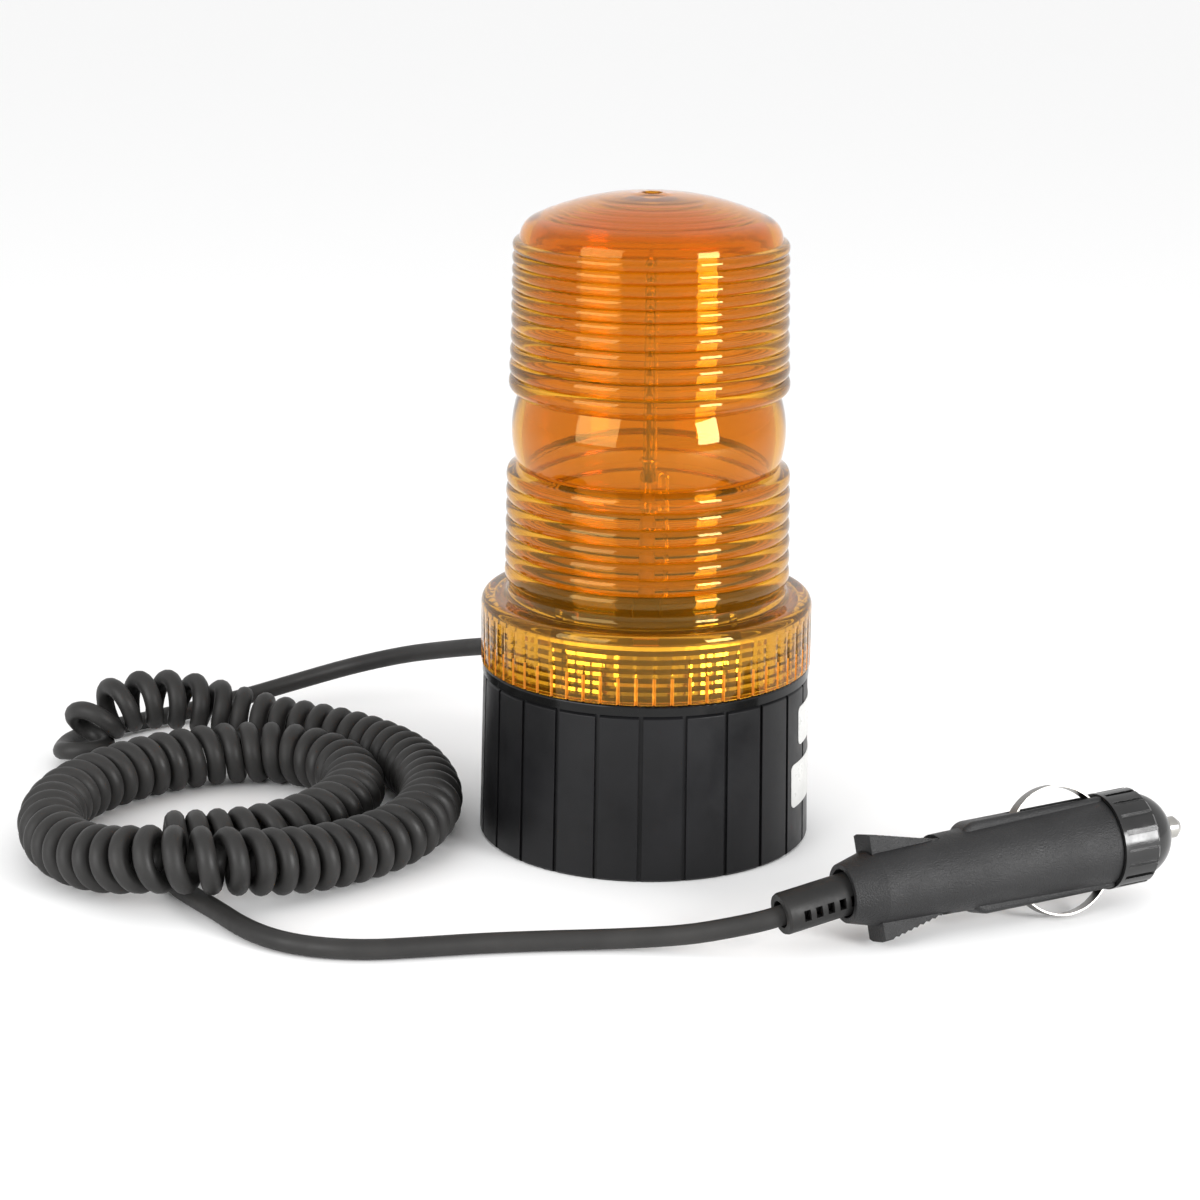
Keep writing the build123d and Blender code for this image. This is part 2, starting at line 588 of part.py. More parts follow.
def make_plug_shell(side):
    body = plug_outside() - plug_inside() - plug_slots()
    boss = Pos(24, 0, 0) * Rot(90, 0, 0) * Cylinder(2.6, 16)
    body = body + (boss & turned_x([(20, 0), (20, SHELL_R_REAR), (28, SHELL_R_REAR), (28, 0)]))
    body -= Pos(24, 4.3, 0) * Rot(90, 0, 0) * Cylinder(1.2, 21.4)
    body -= Pos(24, 9.0, 0) * Rot(90, 0, 0) * Cylinder(2.3, 5.0)
    half = Pos(30, side * 10.02, 0) * Box(90, 20, 40)
    return body & half


def make_plug_screw():
    return Pos(24, 8.2, 0) * Rot(90, 0, 0) * screw(2.2, 1.5, 1.15, 13.5)


def make_fin(side):
    outline = make_face(Polyline(*[(x, 0, side * r) for x, r in fin_outline()], close=True))
    return extrude(outline, FIN_WIDTH / 2, both=True) & (Rot(0, 90, 0) * Cylinder(FIN_EDGE_R, 60))


def make_contact(side):
    """A bowed spring strip: both feet are turned into its slot, the rear one with a toe under the shell."""
    thick = STRIP_THICK
    peak_x = (BOW_FOOT_A + BOW_FOOT_B) / 2 + 1.3
    low = BOW_FOOT_R - CONTACT_FOOT
    outer = ThreePointArc((BOW_FOOT_A, 0, BOW_FOOT_R), (peak_x, 0, BOW_PEAK), (BOW_FOOT_B, 0, BOW_FOOT_R))
    front = Polyline((BOW_FOOT_B, 0, BOW_FOOT_R), (BOW_FOOT_B, 0, low), (BOW_FOOT_B - thick, 0, low),
                     (BOW_FOOT_B - thick, 0, BOW_FOOT_R))
    inner = ThreePointArc((BOW_FOOT_B - thick, 0, BOW_FOOT_R), (peak_x, 0, BOW_PEAK - thick),
                          (BOW_FOOT_A + thick, 0, BOW_FOOT_R))
    rear = Polyline((BOW_FOOT_A + thick, 0, BOW_FOOT_R), (BOW_FOOT_A + thick, 0, low),
                    (BOW_FOOT_A - CONTACT_TOE, 0, low), (BOW_FOOT_A - CONTACT_TOE, 0, low + thick),
                    (BOW_FOOT_A, 0, low + thick), (BOW_FOOT_A, 0, BOW_FOOT_R))
    outline = make_face(Wire([outer, *front.edges(), inner, *rear.edges()]))
    strip = extrude(outline, STRIP_WIDTH / 2, both=True)
    return strip if side > 0 else Rot(180, 0, 0) * strip


def make_nose_ring():
    body = turned_x([(RING_START, SPIGOT_R + 0.05), (RING_START, RING_R), (RING_END - 0.8, RING_R),
                     (RING_END, RING_R - 0.8), (RING_END, 8.4), (RING_START + 5.4, 8.4),
                     (RING_START + 5.4, SPIGOT_R + 0.05)])
    notch = Box(20, 1.1, 1.6)
    cuts = [Rot(k * 360 / RING_FLUTES, 0, 0) * Pos(RING_START + 10.9, 0, RING_R) * notch
            for k in range(RING_FLUTES)]
    return body - cuts


def make_nose_tip():
    """The insulating dome: a neck held in the ring's bore and a rounded nose bored for the pin."""
    neck = turned_x([(TIP_START, PIN_R + 0.06), (TIP_START, TIP_NECK_R), (RING_END + 0.2, TIP_NECK_R),
                     (RING_END + 0.2, PIN_R + 0.06)])
    start = RING_END + 0.1
    crown = ThreePointArc((start, 0, TIP_R), (start + 4.3, 0, TIP_R - 2.2), (TIP_END, 0, TIP_FLAT_R))
    sides = Polyline((TIP_END, 0, TIP_FLAT_R), (TIP_END, 0, PIN_R + 0.06), (start, 0, PIN_R + 0.06),
                     (start, 0, TIP_R))
    return neck + revolve(make_face(Wire([crown, *sides.edges()])), Axis.X)


def make_centre_pin():
    """The sprung pin: a flange behind the dome and a rounded point."""
    return turned_x([(PIN_FLANGE, 0), (PIN_FLANGE, 3.2), (PIN_FLANGE + 0.4, 3.2), (PIN_FLANGE + 0.4, PIN_R),
                     (PIN_END - 1.4, PIN_R), (PIN_END - 0.4, 1.6), (PIN_END, 0.6), (PIN_END, 0)])


def make_pin_spring():
    """A coil spring between the fuse and the pin, as its turns joined at one side."""
    turns = [Pos(FUSE_END + 0.7 + 1.2 * k, 0, 0) * Rot(0, 90, 0) * Torus(2.2, 0.35) for k in range(5)]
    link = Pos((FUSE_END + PIN_FLANGE) / 2, 0, 2.2) * Box(PIN_FLANGE - FUSE_END - 0.1, 0.5, 0.5)
    return link + turns


def make_fuse():
    body = turned_x([(FUSE_END - 26.5, 2.2), (FUSE_END - 26.5, 2.9), (FUSE_END - 5.5, 2.9),
                     (FUSE_END - 5.5, 2.2)])
    element = Pos(FUSE_END - 26.4, 0, 0) * Rot(0, 90, 0) * extrude(Circle(0.25), 20.8)
    return Compound([body, element])


def make_fuse_caps():
    front = turned_x([(FUSE_END - 5.5, 0), (FUSE_END - 5.5, 3.15), (FUSE_END, 3.15), (FUSE_END, 0)])
    rear = turned_x([(FUSE_END - 32, 0), (FUSE_END - 32, 3.15), (FUSE_END - 26.5, 3.15), (FUSE_END - 26.5, 0)])
    return Compound([front, rear])


def make_plug_boot():
    """Ladder strain relief: a sleeve with square windows through both sides and an open end."""
    body = turned_x([(BOOT_START, 2.9), (BOOT_START, BOOT_R - 0.25), (BOOT_START + 0.6, BOOT_R), (1.4, BOOT_R),
                     (1.4, 2.9)])
    windows = [Pos(BOOT_START + 4.2 + k * 2.75, 0, 0) * Box(1.5, 12, 2.4) for k in range(5)]
    body -= windows
    return Pos(*PLUG_TAIL) * Rot(0, 0, PLUG_YAW) * Rot(0, -BOOT_DROOP, 0) * body


def make_lamp_lead():
    return make_inner_cord() + tube("cord_lead_lamp", LAMP_LEAD_ROUTE, CORD_R)


def save(name, shape):
    shape.label = name
    export_step(shape, f"parts/{name}.step")


def main():
    os.makedirs("parts", exist_ok=True)
    save("base_housing", make_base_housing())
    save("base_plate", make_base_plate())
    save("plate_screws", make_plate_screws())
    save("magnet_cup", make_magnet_cup())
    save("magnet_ring", make_magnet_ring())
    save("magnet_pad", make_magnet_pad())
    save("magnet_screw", make_magnet_screw())
    save("magnet_nut", make_magnet_nut())
    save("lens", make_lens())
    save("lens_gasket", make_lens_gasket())
    save("circuit_board", make_circuit_board())
    save("board_screws", make_board_screws())
    save("transformer", make_transformer())
    save("capacitor", make_capacitor())
    save("trigger_coil", make_trigger_coil())
    save("tube_pillar", make_tube_pillar())
    save("tube_cap", make_tube_cap())
    save("flash_tube", make_flash_tube())
    save("tube_electrodes", make_tube_electrodes())
    save("trigger_wire", make_trigger_wire())
    save("return_wire", make_return_wire())
    save("anode_post", make_anode_post())
    save("reflector_plate", make_reflector_plate())
    save("rating_label_upper", conical_label(24.5, 33.5, -21.0, 22.0))
    save("rating_label_lower", conical_label(10.5, 20.8, -27.0, 20.0))
    save("cord_grommet", make_cord_grommet())
    save("cord_clamp", make_cord_clamp())
    save("supply_wires", make_supply_wires())
    save("cord_lead_lamp", make_lamp_lead())
    save("cord_coil", tube("cord_coil", COIL_ROUTE, COIL_R))
    save("cord_lead_plug", tube("cord_lead_plug", PLUG_LEAD_ROUTE, CORD_R))
    save("plug_shell_left", placed(make_plug_shell(1)))
    save("plug_shell_right", placed(make_plug_shell(-1)))
    save("plug_screw", placed(make_plug_screw()))
    save("plug_fin_upper", placed(make_fin(1)))
    save("plug_fin_lower", placed(make_fin(-1)))
    save("plug_contact_upper", placed(make_contact(1)))
    save("plug_contact_lower", placed(make_contact(-1)))
    save("plug_nose_ring", placed(make_nose_ring()))
    save("plug_nose_tip", placed(make_nose_tip()))
    save("plug_centre_pin", placed(make_centre_pin()))
    save("plug_pin_spring", placed(make_pin_spring()))
    save("plug_fuse", placed(make_fuse()))
    save("plug_fuse_caps", placed(make_fuse_caps()))
    save("plug_boot", make_plug_boot())


main()
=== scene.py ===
from math import atan2, ceil, cos, pi, radians, sin

import bpy
from mathutils import Matrix, Vector


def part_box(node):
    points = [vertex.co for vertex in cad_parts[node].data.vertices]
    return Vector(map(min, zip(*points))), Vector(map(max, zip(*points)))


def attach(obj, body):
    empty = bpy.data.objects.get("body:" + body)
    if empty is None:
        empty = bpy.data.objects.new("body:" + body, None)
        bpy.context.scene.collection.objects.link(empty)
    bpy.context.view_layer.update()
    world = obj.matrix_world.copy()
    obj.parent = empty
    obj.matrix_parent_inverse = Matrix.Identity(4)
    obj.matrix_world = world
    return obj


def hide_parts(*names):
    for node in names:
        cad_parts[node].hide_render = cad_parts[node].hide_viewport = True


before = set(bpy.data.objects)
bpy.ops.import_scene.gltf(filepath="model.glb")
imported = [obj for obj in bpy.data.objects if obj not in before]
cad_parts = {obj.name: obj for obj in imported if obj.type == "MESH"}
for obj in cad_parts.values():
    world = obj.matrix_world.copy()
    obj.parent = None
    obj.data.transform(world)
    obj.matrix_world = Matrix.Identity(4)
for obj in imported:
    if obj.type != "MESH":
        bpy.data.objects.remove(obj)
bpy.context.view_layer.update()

MM = 0.001


# ---------------------------------------------------------------- camera, floor and lights

CAMERA_PLACE = Vector((0.0, -0.6595, 0.2393))
CAMERA_PITCH = radians(15.68)
CAMERA_YAW = radians(-0.92)
CAMERA_ROLL = radians(0.565)
CAMERA_LENS = 90.0
CAMERA_SENSOR = 36.0
CAMERA_NEAR = 0.01
CAMERA_FAR = 50.0
SURROUND_STRENGTH = 1.0
FLOOR_HALF = 8.0
FLOOR_GREY = 0.93
FLOOR_ROUGHNESS = 0.7
LIGHT_TARGET = Vector((0, 0, 0.09))
# Name, azimuth, elevation, distance, width, height and watts.
SOFTBOXES = [
    ("softbox_right", 50, 10, 0.75, 0.25, 0.27, 5.6),
    ("softbox_left", -44, 14, 0.85, 0.56, 0.50, 4.6),
]


def make_camera():
    """The camera, in front of the object and a little above it."""
    heading = Vector((sin(CAMERA_YAW), cos(CAMERA_YAW), 0))
    right = Vector((cos(CAMERA_YAW), -sin(CAMERA_YAW), 0))
    forward = heading * cos(CAMERA_PITCH) - Vector((0, 0, sin(CAMERA_PITCH)))
    up = right.cross(forward)
    rolled_right = right * cos(CAMERA_ROLL) + up * sin(CAMERA_ROLL)
    rolled_up = up * cos(CAMERA_ROLL) - right * sin(CAMERA_ROLL)
    data = bpy.data.cameras.new("view_camera")
    data.lens = CAMERA_LENS
    data.sensor_width = CAMERA_SENSOR
    data.clip_start = CAMERA_NEAR
    data.clip_end = CAMERA_FAR
    camera = bpy.data.objects.new("view_camera", data)
    turn = Matrix((rolled_right, rolled_up, -forward)).transposed().to_4x4()
    camera.matrix_world = Matrix.Translation(CAMERA_PLACE) @ turn
    bpy.context.scene.collection.objects.link(camera)
    bpy.context.scene.camera = camera


def make_light(name, azimuth, elevation, distance, width, height, watts):
    """A soft area light that faces the beacon. Azimuth 0 is on the camera's side and 90 on the right."""
    data = bpy.data.lights.new(name, "AREA")
    data.shape = "RECTANGLE"
    data.size = width
    data.size_y = height
    data.energy = watts
    light = bpy.data.objects.new(name, data)
    a = radians(azimuth)
    e = radians(elevation)
    back = Vector((sin(a) * cos(e), -cos(a) * cos(e), sin(e)))
    turn = back.to_track_quat("Z", "Y").to_matrix().to_4x4()
    light.matrix_world = Matrix.Translation(LIGHT_TARGET + back * distance) @ turn
    light.visible_camera = False
    bpy.context.scene.collection.objects.link(light)


def make_studio():
    """A plain pale floor, a pale surround and soft lights."""
    world = bpy.data.worlds.new("studio")
    world.use_nodes = True
    background = world.node_tree.nodes["Background"]
    background.inputs["Color"].default_value = (1.0, 1.0, 1.0, 1.0)
    background.inputs["Strength"].default_value = SURROUND_STRENGTH
    bpy.context.scene.world = world
    bpy.context.scene.view_settings.view_transform = "Standard"
    corners = [(x * FLOOR_HALF, y * FLOOR_HALF, 0) for x, y in ((-1, -1), (1, -1), (1, 1), (-1, 1))]
    mesh = bpy.data.meshes.new("floor")
    mesh.from_pydata(corners, [], [(0, 1, 2, 3)])
    floor = bpy.data.objects.new("floor", mesh)
    bpy.context.scene.collection.objects.link(floor)
    paint = bpy.data.materials.new("floor_paint")
    paint.use_nodes = True
    shader = paint.node_tree.nodes["Principled BSDF"]
    shader.inputs["Base Color"].default_value = (FLOOR_GREY, FLOOR_GREY, FLOOR_GREY, 1.0)
    shader.inputs["Roughness"].default_value = FLOOR_ROUGHNESS
    mesh.materials.append(paint)
    for softbox in SOFTBOXES:
        make_light(*softbox)


# ---------------------------------------------------------------- meshes

def link(obj):
    """Puts an object in the scene."""
    bpy.context.scene.collection.objects.link(obj)
    return obj


def mesh_piece(name, vertices, faces, sharp_degrees):
    """A smooth-shaded mesh object whose edges over an angle stay sharp."""
    mesh = bpy.data.meshes.new(name)
    mesh.from_pydata(vertices, [], faces)
    mesh.validate()
    mesh.shade_smooth()
    mesh.set_sharp_from_angle(angle=radians(sharp_degrees))
    return link(bpy.data.objects.new(name, mesh))


# ---------------------------------------------------------------- materials

# The range of a noise texture that is stretched over a whole finish.
NOISE_LOW = 0.35
NOISE_HIGH = 0.65
BEVEL_SAMPLES = 4
# Smears in the gloss are this much finer than the mottling of the colour.
SMEAR_RATIO = 2.7


def new_material(name):
    """A material with nodes, its node tree and its Principled shader."""
    material = bpy.data.materials.new(name)
    material.use_nodes = True
    tree = material.node_tree
    shader = tree.nodes["Principled BSDF"]
    return material, tree, shader


def noise(tree, scale, detail, rough, stretch=(1, 1, 1)):
    """A noise texture in object coordinates, in cycles per metre."""
    place = tree.nodes.new("ShaderNodeTexCoord")
    mapping = tree.nodes.new("ShaderNodeMapping")
    mapping.inputs["Scale"].default_value = stretch
    texture = tree.nodes.new("ShaderNodeTexNoise")
    texture.inputs["Scale"].default_value = scale
    texture.inputs["Detail"].default_value = detail
    texture.inputs["Roughness"].default_value = rough
    tree.links.new(place.outputs["Object"], mapping.inputs["Vector"])
    tree.links.new(mapping.outputs["Vector"], texture.inputs["Vector"])
    return texture.outputs["Fac"]


def spread(tree, source, low, high):
    """A noise texture remapped to a range."""
    node = tree.nodes.new("ShaderNodeMapRange")
    node.inputs["From Min"].default_value = NOISE_LOW
    node.inputs["From Max"].default_value = NOISE_HIGH
    node.inputs["To Min"].default_value = low
    node.inputs["To Max"].default_value = high
    tree.links.new(source, node.inputs["Value"])
    return node.outputs["Result"]


def blend_colours(tree, source, first, second):
    """A colour between two, by the source."""
    node = tree.nodes.new("ShaderNodeMix")
    node.data_type = "RGBA"
    node.inputs["A"].default_value = (*first, 1.0)
    node.inputs["B"].default_value = (*second, 1.0)
    tree.links.new(source, node.inputs["Factor"])
    return node.outputs["Result"]


def add_bump(tree, shader, height, depth, edge=0.0):
    """Bump of a depth in metres, over edges that look rounded by a radius in metres."""
    bump = tree.nodes.new("ShaderNodeBump")
    bump.inputs["Distance"].default_value = depth
    tree.links.new(height, bump.inputs["Height"])
    if edge > 0:
        bevel = tree.nodes.new("ShaderNodeBevel")
        bevel.samples = BEVEL_SAMPLES
        bevel.inputs["Radius"].default_value = edge
        tree.links.new(bevel.outputs["Normal"], bump.inputs["Normal"])
    tree.links.new(bump.outputs["Normal"], shader.inputs["Normal"])


def surface(name, colour, second, rough, grain, depth, metallic=0.0, edge=0.0, patch=60.0, coat=0.0,
            stretch=(1, 1, 1), specular=0.5):
    """An opaque moulded, rubber or metal surface: mottled colour, uneven gloss and a fine grain.

    patch and grain are the mottling's and the grain's cycles per metre, and depth the grain's in metres."""
    material, tree, shader = new_material(name)
    mottle = spread(tree, noise(tree, patch, 4.0, 0.6, stretch), 0.0, 1.0)
    tree.links.new(blend_colours(tree, mottle, colour, second), shader.inputs["Base Color"])
    smears = noise(tree, patch * SMEAR_RATIO, 5.0, 0.65, stretch)
    tree.links.new(spread(tree, smears, rough[0], rough[1]), shader.inputs["Roughness"])
    shader.inputs["Metallic"].default_value = metallic
    shader.inputs["Coat Weight"].default_value = coat
    shader.inputs["Specular IOR Level"].default_value = specular
    add_bump(tree, shader, noise(tree, grain, 2.0, 0.6, stretch), depth, edge)
    return material


def clear_plastic(name, colour, rough, ior, ripple, clear=1.0, sheen=(1.0, 1.0, 1.0)):
    """A clear or tinted moulding: a tint where light passes the surface, and a coloured sheen."""
    material, tree, shader = new_material(name)
    shader.inputs["Base Color"].default_value = (*colour, 1.0)
    shader.inputs["Transmission Weight"].default_value = clear
    shader.inputs["Specular Tint"].default_value = (*sheen, 1.0)
    shader.inputs["IOR"].default_value = ior
    haze = noise(tree, 140.0, 4.0, 0.6)
    tree.links.new(spread(tree, haze, rough[0], rough[1]), shader.inputs["Roughness"])
    add_bump(tree, shader, noise(tree, 90.0, 2.0, 0.5), ripple)
    return material


# ---------------------------------------------------------------- cord

CORD_RADIUS = 2.2 * MM
COIL_RADIUS = 7.4 * MM
EXIT_ANGLE = radians(126.3)
EXIT_HEIGHT = 30.0 * MM
HELIX_STEPS = 14
AXIS_RESOLUTION = 12
CORD_RESOLUTION = 4
CORD_SIDES = 5
# Distances from the base's axis: the lead's end inside the housing, two points on its way out, and the wall.
EXIT_REACHES = (23.5 * MM, 30.0 * MM, 39.5 * MM)
# The coil's bend is measured over this many axis points each way, and a straighter stretch needs no more room.
BEND_WINDOW = 6
BEND_LIMIT = 1.0
TURN_ROOM = 2.02
TIGHTEST_INSIDE = 0.3
SHORTEST_STEP = 1e-7

LAMP_LEAD_ROUTE = [
    (-0.0298, 0.0405, 0.0300), (-0.0342, 0.0465, 0.0291), (-0.0408, 0.0542, 0.0266),
    (-0.0506, 0.0636, 0.0228), (-0.0620, 0.0730, 0.0185), (-0.0760, 0.0782, 0.0136),
    (-0.0905, 0.0798, 0.0086), (-0.1045, 0.0776, 0.0047), (-0.1175, 0.0720, 0.0027),
    (-0.1290, 0.0636, 0.0024), (-0.1380, 0.0534, 0.0032), (-0.1428, 0.0438, 0.0036),
]
COIL_ROUTE = [
    (-0.1376, 0.0364, 0.0030), (-0.1370, 0.0370, 0.0084), (-0.1326, 0.0400, 0.0130),
    (-0.1256, 0.0434, 0.0146), (-0.1180, 0.0466, 0.0142), (-0.1105, 0.0490, 0.0122),
    (-0.1035, 0.0502, 0.0096), (-0.0955, 0.0486, 0.0079), (-0.0880, 0.0452, 0.0075),
    (-0.0795, 0.0410, 0.0076), (-0.0680, 0.0337, 0.0075), (-0.0573, 0.0217, 0.0076),
    (-0.0503, 0.0055, 0.0075), (-0.0484, -0.0115, 0.0076), (-0.0530, -0.0285, 0.0075),
    (-0.0640, -0.0420, 0.0076), (-0.0770, -0.0540, 0.0096), (-0.0905, -0.0616, 0.0126),
    (-0.1040, -0.0608, 0.0126), (-0.1170, -0.0530, 0.0090), (-0.1280, -0.0415, 0.0075),
    (-0.1342, -0.0255, 0.0076), (-0.1335, -0.0085, 0.0075), (-0.1260, 0.0065, 0.0076),
    (-0.1140, 0.0186, 0.0075), (-0.0990, 0.0260, 0.0076), (-0.0840, 0.0258, 0.0075),
    (-0.0720, 0.0162, 0.0076), (-0.0666, 0.0015, 0.0075), (-0.0698, -0.0155, 0.0076),
    (-0.0790, -0.0288, 0.0075), (-0.0915, -0.0368, 0.0076), (-0.1055, -0.0380, 0.0075),
]
PLUG_LEAD_ROUTE = [
    (-0.1044, -0.0440, 0.0023), (-0.1010, -0.0506, 0.0023), (-0.0960, -0.0572, 0.0023),
    (-0.0902, -0.0644, 0.0023), (-0.0842, -0.0728, 0.0023), (-0.0770, -0.0796, 0.0023),
    (-0.0680, -0.0836, 0.0023), (-0.0570, -0.0848, 0.0023), (-0.0455, -0.0826, 0.0023),
    (-0.0330, -0.0799, 0.0023), (-0.0195, -0.0780, 0.0023), (-0.0050, -0.0772, 0.0026),
    (0.0095, -0.0778, 0.0039), (0.0195, -0.0789, 0.0064), (0.0266, -0.0790, 0.0082),
    (0.0328, -0.0767, 0.0098), (0.0400, -0.0734, 0.0110),
]
# Pitch of the coil's turns by share of its length: loose at the start, then tighter.
COIL_PITCHES = [(0.00, 6.6 * MM), (0.12, 6.0 * MM), (0.20, 4.85 * MM), (0.45, 5.0 * MM), (0.62, 5.45 * MM),
                (0.80, 5.2 * MM), (1.00, 4.55 * MM)]


def nurbs(name, points):
    """An open NURBS spline of order 3 with these control points."""
    data = bpy.data.curves.new(name, "CURVE")
    data.dimensions = "3D"
    data.resolution_u = CORD_RESOLUTION
    spline = data.splines.new("NURBS")
    spline.points.add(len(points) - 1)
    for point, place in zip(spline.points, points):
        point.co = (*place, 1.0)
    spline.order_u = 3
    spline.use_endpoint_u = True
    data.bevel_resolution = CORD_SIDES
    data.use_fill_caps = True
    return link(bpy.data.objects.new(name, data))


def spline_points(route):
    """Points read from a route's smooth spline."""
    curve = nurbs("coil_axis", route)
    curve.data.resolution_u = AXIS_RESOLUTION
    mesh = bpy.data.meshes.new_from_object(curve)
    points = [v.co.copy() for v in mesh.vertices]
    bpy.data.meshes.remove(mesh)
    bpy.data.objects.remove(curve)
    return points


def pitch_at(share):
    """The coil's pitch at a share of its length."""
    for (start, first), (end, second) in zip(COIL_PITCHES, COIL_PITCHES[1:]):
        if share <= end:
            return first + (second - first) * (share - start) / (end - start)
    return COIL_PITCHES[-1][1]


def helix_points():
    """The curly cord's turns round the coil's axis, right-handed, from its side to its underside."""
    axis = spline_points(COIL_ROUTE)
    axis = [p for k, p in enumerate(axis) if k == 0 or (p - axis[k - 1]).length > SHORTEST_STEP]
    end = len(axis) - 1
    tangents = [(axis[min(k + 1, end)] - axis[max(k - 1, 0)]).normalized() for k in range(len(axis))]
    lengths = [0.0]
    for before, here in zip(axis, axis[1:]):
        lengths.append(lengths[-1] + (here - before).length)
    # Frames carried along the axis without twist.
    side = Vector((-1, 0, 0))
    side = (side - tangents[0] * side.dot(tangents[0])).normalized()
    sides = [side]
    for before, here in zip(tangents, tangents[1:]):
        side = before.rotation_difference(here) @ side
        side = (side - here * side.dot(here)).normalized()
        sides.append(side)
    # The phase grows with the pitch, which opens where the axis bends so that the turns don't meet.
    radius = COIL_RADIUS - CORD_RADIUS
    phases = [0.0]
    for k in range(1, len(axis)):
        run = lengths[k] - lengths[k - 1]
        low = max(k - BEND_WINDOW, 0)
        high = min(k + BEND_WINDOW, end)
        turn = tangents[low].angle(tangents[high], 0.0)
        bend = (lengths[high] - lengths[low]) / max(turn, 1e-4)
        pitch = pitch_at(lengths[k] / lengths[-1])
        if bend < BEND_LIMIT:
            inside = max(bend - radius, TIGHTEST_INSIDE * radius)
            pitch = max(pitch, TURN_ROOM * CORD_RADIUS * bend / inside)
        phases.append(phases[-1] + 2 * pi * run / pitch)
    down = Vector((0, 0, -1))
    last = atan2(down.dot(tangents[-1].cross(sides[-1])), down.dot(sides[-1]))
    turns = round((phases[-1] - last) / (2 * pi))
    scale = (2 * pi * turns + last) / phases[-1]
    phases = [p * scale for p in phases]
    reach = radius / cos(pi / HELIX_STEPS)
    count = ceil(phases[-1] / (2 * pi) * HELIX_STEPS)
    points = []
    k = 1
    for step in range(count + 1):
        phase = phases[-1] * step / count
        while k < len(phases) - 1 and phases[k] < phase:
            k += 1
        share = (phase - phases[k - 1]) / (phases[k] - phases[k - 1])
        centre = axis[k - 1].lerp(axis[k], share)
        tangent = tangents[k - 1].lerp(tangents[k], share).normalized()
        side = sides[k - 1].lerp(sides[k], share)
        side = (side - tangent * side.dot(tangent)).normalized()
        points.append(centre + (side * cos(phase) + tangent.cross(side) * sin(phase)) * reach)
    return points


def spline_length(curve):
    """The length of a curve that has no bevel."""
    mesh = bpy.data.meshes.new_from_object(curve)
    places = [v.co for v in mesh.vertices]
    total = sum((b - a).length for a, b in zip(places, places[1:]))
    bpy.data.meshes.remove(mesh)
    return total


def make_cord():
    """The whole cord as one spline: lamp lead, curly stretch and plug lead."""
    out = Vector((cos(EXIT_ANGLE), sin(EXIT_ANGLE), 0))
    height = Vector((0, 0, EXIT_HEIGHT))
    way_out = [out * reach + height for reach in EXIT_REACHES]
    cord = nurbs("curly_cord", [*way_out, *LAMP_LEAD_ROUTE, *helix_points(), *PLUG_LEAD_ROUTE])
    length = spline_length(cord)
    cord.data.bevel_depth = CORD_RADIUS
    cord.data.materials.append(surface(
        "cord_rubber", (0.016, 0.0155, 0.015), (0.026, 0.025, 0.024), (0.42, 0.60), 2600.0, 0.04 * MM,
        patch=45.0, specular=0.28))
    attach(cord, "base")
    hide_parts("cord_lead_lamp", "cord_coil", "cord_lead_plug")
    pieces = [obj for node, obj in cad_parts.items() if node.startswith("plug_")]
    pieces.append(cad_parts["cord_grommet"])


# ---------------------------------------------------------------- lens

# The collar's panels: each spans -1 to 1, is plain to the land, and falls to a groove at its edges.
FLUTES = 60
FLUTE_STEPS = (-1.0, -0.8, -0.4, 0.0, 0.4, 0.8)
FLUTE_LAND = 0.8
FLUTE_DEPTH = 0.55 * MM
FLUTE_TOP = 53.4 * MM
COLLAR_RADIUS = 37.7 * MM
COLLAR_BORE = 34.8 * MM
COLLAR_BOTTOM = 40.8 * MM
COLLAR_TOP = 56.6 * MM
COLLAR_CEILING = COLLAR_TOP - 2.8 * MM
PRISM_ROWS = 6
PRISM_DEPTH = 0.95 * MM
# Ribs: their depth under the crest, the points on each, and how square their section is.
RIB_DEPTH = 0.8 * MM
RIB_STEPS = 9
RIB_SQUARENESS = 2.3
RIB_FULLNESS = 0.75
# Bayonet tabs, in degrees round the axis and in metres.
TAB_FIRST = -90.0
TAB_STEP = 72.0
TWIST = 36.0
TAB_HALF = 4.5
TAB_RADIUS = 27.4 * MM
TAB_LOW = 55.2 * MM
TAB_HIGH = 58.2 * MM
NECK_BORE = 29.9 * MM
LOWER_BORE = 29.3 * MM
UPPER_BORE = 27.7 * MM
# The smooth belt bows out between its two ends.
BELT_EDGE = 29.4 * MM
BELT_INNER_EDGE = 27.4 * MM
BELT_LOW = 86.4 * MM
BELT_MIDDLE = 94.5 * MM
BELT_HIGH = 102.6 * MM
# The crown falls by this much over this radius, from a dip where it was gated.
CROWN_FALL = 4.9 * MM
CROWN_RADIUS = 24.6 * MM
CROWN_POWER = 2.15
# How far below the apex the crown's darker amber, which is painted shade, reaches, and the crown's wall.
CROWN_SHADE_DEPTH = 10.1 * MM
CROWN_WALL = 2.6 * MM
TERRACES = (11.8 * MM, 15.0 * MM, 17.8 * MM, 20.6 * MM, 23.4 * MM)
# Material slots of the moulding after the body's, the crown's being a darker, redder amber painted as shade,
# and the angle over which its edges stay sharp.
GROOVE_SLOT = 1
SHADED_CROWN_SLOT = 2
LENS_SHARP = 42.0
NEAR = 0.01 * MM


def arc(start, middle, end, steps):
    """Points of a smooth bow from start through middle to end, without the last one."""
    pulls = [2 * m - (a + b) / 2 for a, m, b in zip(start, middle, end)]
    points = []
    for k in range(steps):
        t = k / steps
        points.append(tuple((1 - t) ** 2 * a + 2 * t * (1 - t) * c + t * t * b
                            for a, c, b in zip(start, pulls, end)))
    return points


